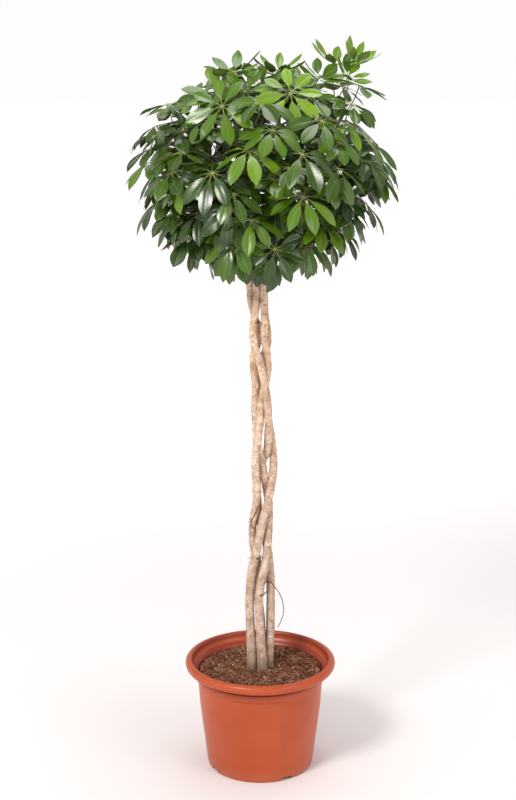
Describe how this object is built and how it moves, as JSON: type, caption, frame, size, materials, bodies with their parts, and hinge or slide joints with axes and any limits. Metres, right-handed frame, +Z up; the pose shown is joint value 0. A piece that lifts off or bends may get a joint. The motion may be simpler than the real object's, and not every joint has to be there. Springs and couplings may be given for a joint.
{
  "type": "potted umbrella tree",
  "caption": "Umbrella tree with braided bare stems, a round crown of glossy finger-like leaves, and a rimmed round nursery pot filled with soil.",
  "frame": {"origin": "on the floor, at the middle of the pot's foot", "axes": "+Z up along the trunk; the front of the plant faces -Y; +X to the right seen from the front"},
  "size_m": [0.5644, 0.5491, 1.5737],
  "materials": {
    "pot": "satin",
    "soil": "matte",
    "bark": "matte",
    "leaf": "satin"
  },
  "bodies": {
    "root": {"pot": "pot", "soil": "soil", "stem_1": "bark", "stem_2": "bark", "stem_3": "bark", "stem_4": "bark", "leaf_01": "leaf", "leaf_02": "leaf", "leaf_03": "leaf", "leaf_04": "leaf", "leaf_05": "leaf", "leaf_06": "leaf", "leaf_07": "leaf", "leaf_08": "leaf", "leaf_09": "leaf", "leaf_10": "leaf", "leaf_11": "leaf", "leaf_12": "leaf", "leaf_13": "leaf", "leaf_14": "leaf", "leaf_15": "leaf", "leaf_16": "leaf", "leaf_17": "leaf", "leaf_18": "leaf", "leaf_19": "leaf", "leaf_20": "leaf", "leaf_21": "leaf", "leaf_22": "leaf", "leaf_23": "leaf", "leaf_24": "leaf", "leaf_25": "leaf", "leaf_26": "leaf", "leaf_27": "leaf", "leaf_28": "leaf", "leaf_29": "leaf", "leaf_30": "leaf", "leaf_31": "leaf", "leaf_32": "leaf", "leaf_33": "leaf", "leaf_34": "leaf", "leaf_35": "leaf", "leaf_36": "leaf", "leaf_37": "leaf", "leaf_38": "leaf", "leaf_39": "leaf", "leaf_40": "leaf", "leaf_41": "leaf", "leaf_42": "leaf", "leaf_43": "leaf", "leaf_44": "leaf", "leaf_45": "leaf", "leaf_46": "leaf", "leaf_47": "leaf", "leaf_48": "leaf", "leaf_49": "leaf", "leaf_50": "leaf", "leaf_51": "leaf", "leaf_52": "leaf", "leaf_53": "leaf", "leaf_54": "leaf"}
  },
  "joints": []
}
